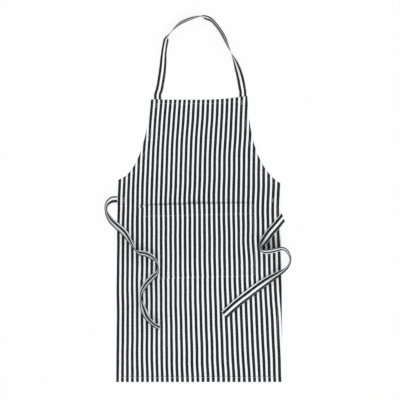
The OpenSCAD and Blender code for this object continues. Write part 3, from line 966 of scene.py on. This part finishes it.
GAP = 0.04                 # between a turned layer and the cloth over it
HEM_ROWS = (0.4, 0.8, 1.6, 4, 7, 10, 12.6, 13.9, 15.2, HEM - 0.3, HEM)


def hem_piece(name, node, line_at):
    """A hem's two turned layers. line_at(d) gives the points along it at distance d in."""
    place = np.array([line_at(d) for d in HEM_ROWS])
    x, y = place[..., 0], place[..., 1]
    under = lift(x, y) + TURNED * tape_under(x, y) + 0.02
    over = panel_base(x, y) - GAP
    over = np.maximum(over, under + 0.25)
    piece = cloth_sheet(name, place, under, over, cloth_uv(x, y), TURNED_CLOTH)
    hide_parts(node)
    return piece


def lay(points):
    """Points of the cloth, moved to where the askew bib puts them."""
    points = np.asarray(points, float)
    return np.stack([points[..., 0], points[..., 1] + askew(points[..., 0], points[..., 1])], -1)


def corner_top(d):
    return np.array([BIB_W / 2 - d, BIB_H - d])


def corner_waist(d, side):
    """The corner under an armhole, d in from both edges."""
    slope = ARMHOLES[side][-1] - ARMHOLES[side][-2]
    slope /= np.linalg.norm(slope)
    return np.array([WAIST_W / 2 - d, WAIST_Y[side] - d * (1 + slope[1]) / slope[0]])


def corner_bottom(d):
    return np.array([SKIRT_W / 2 - d, -SKIRT_H + d])


def straight(a, b, count):
    t = np.linspace(0, 1, count)[:, None]
    return a + (b - a) * t


def armhole_at(d, side, count=90):
    """The armhole's line at distance d in from the edge, from the bib's corner to the waist."""
    curve = ARMHOLES[side]
    tangent = np.gradient(curve, axis=0)
    tangent /= np.linalg.norm(tangent, axis=1, keepdims=True)
    moved = curve + d * np.stack([tangent[:, 1], -tangent[:, 0]], -1)
    moved = moved[(moved[:, 1] < BIB_H - d - 1) & (moved[:, 0] < WAIST_W / 2 - d - 1)]
    whole = np.vstack([[corner_top(d)], moved, [corner_waist(d, side)]])
    far = distances(whole)
    at = np.linspace(0, far[-1], count)
    return np.stack([np.interp(at, far, whole[:, 0]), np.interp(at, far, whole[:, 1])], -1)


def mirrored(points):
    return points * (-1, 1)


def along_edge(which, d, step=3.0):
    """The line at distance d in from one edge of the body, as it lies."""
    side = int(which.endswith("right"))
    if which == "top":
        line = straight(mirrored(corner_top(d)), corner_top(d), int(BIB_W / step))
    elif which == "bottom":
        line = straight(mirrored(corner_bottom(d)), corner_bottom(d), int(SKIRT_W / step))
    elif which.startswith("side"):
        line = straight(corner_waist(d, side), corner_bottom(d), int(SKIRT_H / step))
    else:
        line = armhole_at(d, side)
    if which.endswith("left"):
        line = mirrored(line)
    return lay(line)


EDGES = {
    "top": ("bib_top_hem", "stitch_bib_top"),
    "armhole_left": ("armhole_hem_left", "stitch_armhole_left"),
    "armhole_right": ("armhole_hem_right", "stitch_armhole_right"),
    "side_left": ("side_hem_left", "stitch_side_left"),
    "side_right": ("side_hem_right", "stitch_side_right"),
    "bottom": ("bottom_hem", "stitch_bottom"),
}
UP = np.array([0.0, 0.0, 1.0])


def on_panel(line):
    """A run of stitches on the body panel's front."""
    line = even(line, 0.8)
    z = panel_top(line[:, 0], line[:, 1])
    return np.column_stack([line, z]), np.tile(UP, (len(line), 1))


def make_hems():
    for number, (which, (hem, seam)) in enumerate(EDGES.items()):
        hem_piece(hem + "_cloth", hem, lambda d: along_edge(which, d))
        sewing = stitches(seam + "_thread", [on_panel(along_edge(which, STITCH_IN))], seed=20 + number)
        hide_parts(seam)


BODY = make_body()
make_hems()


# ---- pocket ----
def pocket_lines(length, starts, ends, spacing):
    inner = np.arange(starts[-1] + spacing, length - ends[-1] - spacing / 2, spacing)
    return np.concatenate([starts, inner, length - np.array(ends)[::-1]])


def pocket_grid(us, vs):
    u, v = np.meshgrid(us, vs)
    x, y = pocket_place(u, v)
    return u, v, np.stack([x, y], -1)


SEAM_EDGE = [0.0, 0.35, 0.9, 1.6, 2.4, 3.2, 4.2, 7.0, 11.0, 12.0, 13.2, 16.0]
MOUTH_EDGE = [0.0, 0.3, 0.9, 3.0, 8.0, 14.0, 20.0, 26.0, 31.0, 34.5, 35.6, 36.7, 38.0, 39.2, 42.0]


def make_pocket():
    us = pocket_lines(POCKET_W, SEAM_EDGE, SEAM_EDGE, 4.0) - POCKET_W / 2
    vs = pocket_lines(POCKET_H, MOUTH_EDGE, SEAM_EDGE, 4.0)
    u, v, place = pocket_grid(us, vs)
    panel = cloth_sheet("pocket_cloth", place, pocket_base(u, v), pocket_top(u, v),
                        pocket_cloth_uv(u, v), CLOTH)
    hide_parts("pocket_panel")

    far = POCKET_W / 2
    inset = 0.4
    down = np.linspace(inset, POCKET_H - inset, 70)
    pieces = {
        "pocket_mouth_hem": (np.linspace(-far + TURNING, far - TURNING, 80),
                             np.linspace(inset, MOUTH_HEM, 12)),
        "pocket_turning_left": (np.linspace(-far + inset, -far + TURNING - 0.1, 8), down),
        "pocket_turning_right": (np.linspace(far - TURNING + 0.1, far - inset, 8), down),
        "pocket_turning_bottom": (np.linspace(-far + TURNING, far - TURNING, 100),
                                  np.linspace(POCKET_H - TURNING, POCKET_H - inset, 8)),
    }
    for node, (us, vs) in pieces.items():
        u, v, place = pocket_grid(us, vs)
        over = pocket_base(u, v) - GAP
        under = np.minimum(lift(place[..., 0], place[..., 1]) + LAYER + GAP + pocket_rise(u, v), over - 0.25)
        piece = cloth_sheet(node + "_cloth", place, under, over, pocket_cloth_uv(u, v), TURNED_CLOTH)
        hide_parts(node)
    return panel


def on_pocket(u, v):
    """A run of stitches on the pocket's front."""
    u, v = np.broadcast_arrays(np.asarray(u, float), np.asarray(v, float))
    x, y = pocket_place(u, v)
    return np.stack([x, y, pocket_top(u, v)], -1), np.tile(UP, (len(u), 1))


def make_pocket_sewing():
    far = POCKET_W / 2 - SEAM_IN
    deep = POCKET_H - SEAM_IN
    down = np.arange(1.0, deep, 0.8)
    over = np.arange(-far, far, 0.8)
    mouth = np.arange(-far + TURNING, far - TURNING, 0.8)
    runs = {
        "stitch_pocket_left": [on_pocket(-far, down)],
        "stitch_pocket_right": [on_pocket(far, down)],
        "stitch_pocket_bottom": [on_pocket(over, deep)],
        "stitch_pocket_mouth": [on_pocket(mouth, MOUTH_HEM - SEAM_IN)],
    }
    for number, (node, lines) in enumerate(runs.items()):
        sewing = stitches(node + "_thread", lines, seed=40 + number)
        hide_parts(node)
    for side, node in ((-1, "bartack_pocket_left"), (1, "bartack_pocket_right")):
        lines = []
        middle = side * (POCKET_W / 2 - 7)
        for row in np.arange(3.0, 15.0, 0.55):
            lines.append(on_pocket(middle + np.linspace(-1.3, 1.3, 8), row))
        sewing = stitches(node + "_thread", lines, long=2.0, pitch=2.05, wide=0.5, seed=50 + side)
        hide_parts(node)


POCKET = make_pocket()
make_pocket_sewing()


# ---- box stitches that hold the tapes ----
def box_runs(x, y, w, d):
    """A box of stitches with a cross in it, w by d, round x, y."""
    corners = np.array([(-w, -d), (w, -d), (w, d), (-w, d)]) / 2 + (x, y)
    sides = [straight(corners[i], corners[(i + 1) % 4], 30) for i in range(4)]
    crosses = [straight(corners[0], corners[2], 30), straight(corners[1], corners[3], 30)]
    return [on_panel(line) for line in sides + crosses]


def make_box_stitches():
    long, deep, inward_by = TAPE_W - 13, 10.0, HEM + 7
    strap_y = [BIB_H + askew(x, BIB_H) - inward_by for x in STRAP_X]
    places = {
        "box_stitch_strap_left": (STRAP_X[0], strap_y[0], long, deep),
        "box_stitch_strap_right": (STRAP_X[1], strap_y[1], long, deep),
        "box_stitch_tie_left": (-side_x(TIE_Y) + inward_by, TIE_Y, deep, long),
        "box_stitch_tie_right": (side_x(TIE_Y) - inward_by, TIE_Y, deep, long),
    }
    for number, (node, (x, y, w, d)) in enumerate(places.items()):
        sewing = stitches(node + "_thread", box_runs(x, y, w, d), long=2.2, pitch=2.7, seed=60 + number)
        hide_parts(node)


make_box_stitches()


# ---- floor, light ----
ROOM_LIGHT = 0.74
LAMP_LIGHT = 2.05
FLOOR_GLOW = 0.895         # the floor's own light, which keeps it pale under soft shadows
FLOOR_HALF = 30.0          # metres


def make_floor():
    n = Nodes("pale_floor")
    n.shader.inputs["Base Color"].default_value = (0.08, 0.08, 0.08, 1)
    n.shader.inputs["Roughness"].default_value = 0.9
    n.shader.inputs["Specular IOR Level"].default_value = 0.1
    n.shader.inputs["Emission Color"].default_value = (1, 1, 1, 1)
    n.shader.inputs["Emission Strength"].default_value = FLOOR_GLOW
    mesh = bpy.data.meshes.new("floor")
    corners = [(x * FLOOR_HALF, y * FLOOR_HALF, 0) for x, y in ((-1, -1), (1, -1), (1, 1), (-1, 1))]
    mesh.from_pydata(corners, [], [(0, 1, 2, 3)])
    mesh.materials.append(n.material)
    floor = bpy.data.objects.new("floor", mesh)
    bpy.context.scene.collection.objects.link(floor)
    floor.location.z = -0.0002


def make_light():
    """An even pale room, and one soft lamp low on the hem's side."""
    world = bpy.data.worlds.new("studio")
    world.use_nodes = True
    world.node_tree.nodes["Background"].inputs["Color"].default_value = (1, 1, 1, 1)
    world.node_tree.nodes["Background"].inputs["Strength"].default_value = ROOM_LIGHT
    bpy.context.scene.world = world
    data = bpy.data.lights.new("lamp", "SUN")
    data.energy = LAMP_LIGHT
    data.angle = math.radians(24)
    lamp = bpy.data.objects.new("lamp", data)
    bpy.context.scene.collection.objects.link(lamp)
    lamp.location = (0.25, -1.7, 1.25)
    lamp.rotation_euler = (Vector((0, 0, 0)) - lamp.location).to_track_quat("-Z", "Y").to_euler()
    bpy.context.scene.view_settings.view_transform = "Standard"
    bpy.context.scene.view_settings.look = "None"


make_floor()
make_light()
